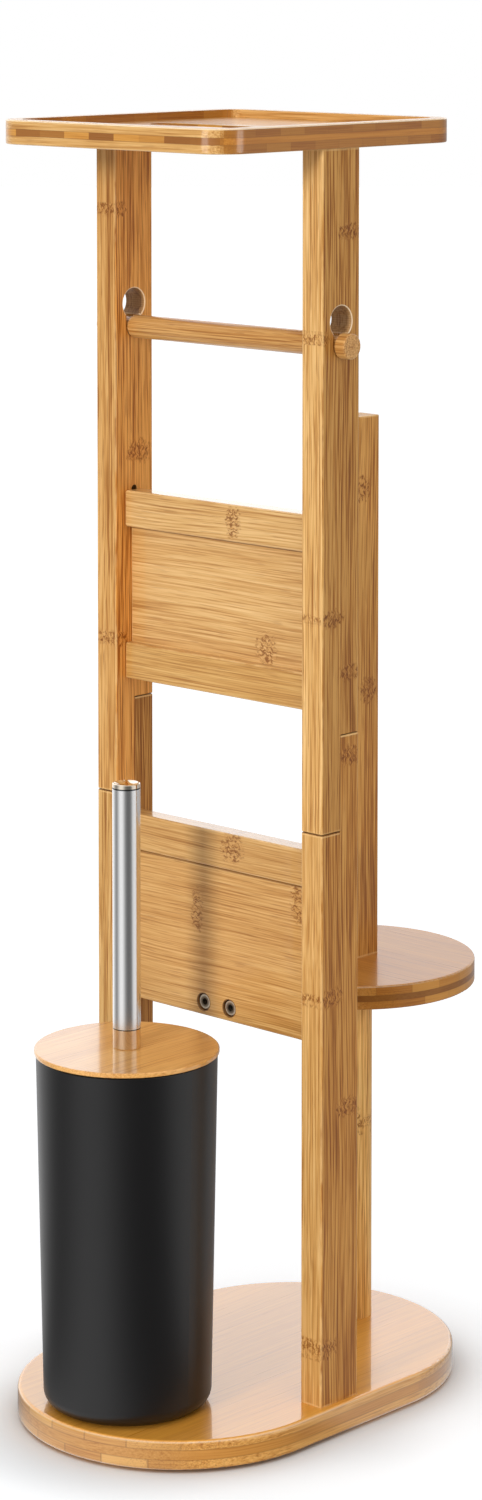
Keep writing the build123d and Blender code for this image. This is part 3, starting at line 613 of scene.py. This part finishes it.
def bristles():
    random.seed(11)
    low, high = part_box("bristles")
    centre = (low + high) / 2
    reach = (high.x - low.x) / 2
    core = 0.0115
    strand_radius = 0.00028
    rows = 15
    tufts = 26
    strands = 3
    sides = 3
    bends = 3
    gap_below = 0.0035
    both_gaps = 0.006
    mesh = bmesh.new()

    def scatter(size):
        return Vector([random.uniform(-1, 1) for _ in range(3)]) * size

    def blade(start, way, length):
        """One bent, tapered strand."""
        side = way.orthogonal().normalized()
        other = way.cross(side).normalized()
        droop = side * random.uniform(-0.12, 0.12) + other * random.uniform(-0.12, 0.12)
        rings = []
        for i in range(bends + 1):
            t = i / bends
            at = start + way * (length * t) + droop * (length * t * t * 0.5)
            width = strand_radius * (1 - 0.35 * t)
            ring = []
            for k in range(sides):
                turn = math.tau * k / sides
                corner = at + side * (width * math.cos(turn)) + other * (width * math.sin(turn))
                ring.append(mesh.verts.new(corner))
            rings.append(ring)
        for a, b in zip(rings, rings[1:]):
            for k in range(sides):
                mesh.faces.new((a[k], a[(k + 1) % sides], b[(k + 1) % sides], b[k]))
        mesh.faces.new(rings[0][::-1])
        mesh.faces.new(rings[-1])

    for row in range(rows):
        share = row / (rows - 1)
        z = low.z + gap_below + share * (high.z - low.z - both_gaps)
        for k in range(tufts):
            angle = math.tau * (k + 0.5 * (row % 2)) / tufts
            out = Vector((math.cos(angle), math.sin(angle), 0))
            lean = -0.85 * (1 - share) ** 3
            way = (out + Vector((0, 0, lean))).normalized()
            full = (reach - core) * (0.985 - 0.16 * (1 - share) ** 2)
            start = Vector((centre.x, centre.y, z)) + out * (core * 0.97)
            if z + way.z * full < low.z:
                full = (z - low.z) / -way.z
            for _ in range(strands):
                spread = scatter(0.055)
                shift = scatter(0.0005)
                blade(start + shift, (way + spread).normalized(), full * random.uniform(0.94, 0.99))
    data = bpy.data.meshes.new("brush_bristles")
    mesh.to_mesh(data)
    mesh.free()
    piece = bpy.data.objects.new("brush_bristles", data)
    bpy.context.scene.collection.objects.link(piece)
    s = material("bristle_nylon")
    tone = s.noise(s.vec(*s.place()), 900, detail=1)
    nylon = s.ramp(tone, [(0.3, srgb(22, 22, 23)), (0.7, srgb(48, 48, 50))], smooth=False)
    data.materials.append(s.finish(nylon, 0.4))
    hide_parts("bristles")
    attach(piece, "brush")


bristles()


# Floor, world and lamps. The studio's tones are brightnesses at degrees round from the front
STUDIO_TONES = [
    (0, 1.0), (12, 0.97), (24, 0.58), (36, 0.25), (50, 0.15), (72, 0.15), (84, 0.28), (94, 0.75),
    (122, 0.95), (138, 0.72), (155, 0.5), (200, 0.45), (225, 0.8), (250, 1.15), (268, 1.2), (284, 0.85),
    (298, 0.6), (310, 0.3), (325, 0.3), (340, 0.68), (352, 1.0),
]
TONE_TOP = 1.2
WALL_BEHIND = (1.36, 1.74, 2.15, 1)
CEILING = (1.2, 1.2, 1.2, 1)
WHITE = (1, 1, 1, 1)
WINDOW_BRIGHTNESS = 6.0
EVEN_LIGHT = 0.46
FLOOR_RADIUS = 12
FLOOR_GLOW = 0.52
CONTACT_REACH = 0.07
CONTACT_POWER = 3.2


def studio_tone(s, x, y):
    """What gloss sees round the stand, and the turn at which it sees it, as a share of a round."""
    turn = s.math("ARCTAN2", x, s.mul(y, -1.0))
    turn = s.math("FRACT", s.add(s.mul(turn, 1 / math.tau), 1.0))
    stops = [(degrees / 360, (*[level / TONE_TOP] * 3, 1)) for degrees, level in STUDIO_TONES]
    return s.mul(s.ramp(turn, stops, smooth=False), TONE_TOP), turn


def window(s, turn, centre, half, soft):
    """A lit window seen round the given direction, in degrees."""
    off = s.math("FRACT", s.add(turn, 0.5 - centre / 360 + 1))
    off = s.math("ABSOLUTE", s.sub(off, 0.5))
    return s.step(off, (half + soft) / 360, (half - soft) / 360)


def ray_kinds(s):
    """Whether a ray comes from the eye, straight or through glass, and whether it is mirrored."""
    path = s.node("ShaderNodeLightPath")
    white = s.math("MAXIMUM", path.outputs["Is Camera Ray"], path.outputs["Is Transmission Ray"])
    return white, path.outputs["Is Glossy Ray"]


def blend(s, share, first, second):
    made = s.node("ShaderNodeMixShader")
    s.put(made.inputs[0], share)
    s.put(made.inputs[1], first)
    s.put(made.inputs[2], second)
    return made.outputs[0]


def floor():
    """A white floor that glows to the eye, less so where the stand covers it: a painted contact shadow."""
    data = bpy.data.meshes.new("floor")
    mesh = bmesh.new()
    bmesh.ops.create_circle(mesh, cap_ends=True, radius=FLOOR_RADIUS, segments=96)
    mesh.to_mesh(data)
    mesh.free()
    piece = bpy.data.objects.new("floor", data)
    piece.location.z = -0.0002
    bpy.context.scene.collection.objects.link(piece)
    s = material("floor_white")
    x, y, _ = s.place()
    diffuse = s.node("ShaderNodeBsdfDiffuse")
    diffuse.inputs["Color"].default_value = (0.85, 0.87, 0.885, 1)
    white, glossy = ray_kinds(s)
    glow = s.node("ShaderNodeEmission")
    glow.inputs["Color"].default_value = (0.985, 0.99, 1.0, 1)
    covered = s.node("ShaderNodeAmbientOcclusion", samples=8)
    covered.inputs["Distance"].default_value = CONTACT_REACH
    open_share = s.math("POWER", covered.outputs["AO"], CONTACT_POWER)
    s.put(glow.inputs["Strength"], s.mul(s.mul(white, FLOOR_GLOW), open_share))
    both = s.node("ShaderNodeAddShader")
    s.put(both.inputs[0], diffuse.outputs[0])
    s.put(both.inputs[1], glow.outputs[0])
    mirrored = s.node("ShaderNodeEmission")
    tone, _ = studio_tone(s, x, y)
    s.put(mirrored.inputs["Strength"], tone)
    s.put(s.out.inputs[0], blend(s, glossy, both.outputs[0], mirrored.outputs[0]))
    data.materials.append(s.owner)
    return piece


ground = floor()


def world():
    """White behind everything that is seen, studio tones in reflections, and an even light."""
    made = bpy.data.worlds.new("studio")
    bpy.context.scene.world = made
    s = Shader(made, "ShaderNodeOutputWorld")
    x, y, z = s.split(s.node("ShaderNodeTexCoord").outputs["Generated"])
    tone, turn = studio_tone(s, x, y)
    # The wall behind is brighter than the paper round it, and two lamps show as bright windows
    behind = s.mul(window(s, turn, 225, 45, 8), s.step(z, 0.02, 0.12))
    tone = s.mix(behind, tone, WALL_BEHIND)
    lamps = s.add(window(s, turn, -13, 12, 5), window(s, turn, 111, 12, 5))
    height = s.mul(s.step(z, -0.12, -0.09), s.step(z, -0.033, -0.041))
    tone = s.add(tone, s.mul(s.mul(lamps, height), WINDOW_BRIGHTNESS))
    tone = s.mix(s.step(z, 0.55, 0.9), tone, CEILING)

    def background(colour, strength):
        light = s.node("ShaderNodeBackground")
        s.put(light.inputs["Color"], colour)
        light.inputs["Strength"].default_value = strength
        return light.outputs[0]

    white, glossy = ray_kinds(s)
    unseen = blend(s, glossy, background(WHITE, EVEN_LIGHT), background(tone, 1.0))
    s.put(s.out.inputs[0], blend(s, white, unseen, background(WHITE, 1.0)))


world()


def lamp(name, round_to, up, strength, angle, floor_too=False):
    """A far soft lamp. round_to is measured from the front towards the right, in degrees."""
    data = bpy.data.lights.new(name, "SUN")
    data.energy = strength * math.pi
    data.angle = math.radians(angle)
    made = bpy.data.objects.new(name, data)
    a, e = math.radians(round_to), math.radians(up)
    source = Vector((math.sin(a) * math.cos(e), -math.cos(a) * math.cos(e), math.sin(e)))
    made.rotation_mode = "QUATERNION"
    made.rotation_quaternion = source.to_track_quat("Z", "Y")
    made.visible_glossy = False
    bpy.context.scene.collection.objects.link(made)
    if not floor_too:
        group = bpy.data.collections.new(name + "_lights")
        group.objects.link(ground)
        group.collection_objects[0].light_linking.link_state = "EXCLUDE"
        made.light_linking.receiver_collection = group


lamp("key", 8, 14, 0.57, 13)
lamp("fill_right", 72, 12, 0.2, 40)
lamp("top", 20, 75, 0.22, 60, floor_too=True)

# Camera, at the photograph's viewing angle. Its axis lies in one row of the photograph
photo_height = 1500
axis_row = 240
focal_length = 3874.2
sensor_width = 36
yaw = math.radians(43.396)
pitch = math.radians(4.391)
camera_data = bpy.data.cameras.new("camera")
camera = bpy.data.objects.new("camera", camera_data)
bpy.context.scene.collection.objects.link(camera)
forward = Vector((-math.sin(yaw) * math.cos(pitch), math.cos(yaw) * math.cos(pitch), -math.sin(pitch)))
camera.location = (1.63506, -1.72695, 0.90727)
camera.rotation_mode = "QUATERNION"
camera.rotation_quaternion = forward.to_track_quat("-Z", "Y")
camera_data.sensor_fit = "AUTO"
camera_data.sensor_width = sensor_width
camera_data.lens = focal_length / photo_height * sensor_width
camera_data.shift_y = (axis_row - photo_height / 2) / photo_height
camera_data.clip_start = 0.05
camera_data.clip_end = 60
bpy.context.scene.camera = camera
bpy.context.scene.view_settings.view_transform = "Standard"
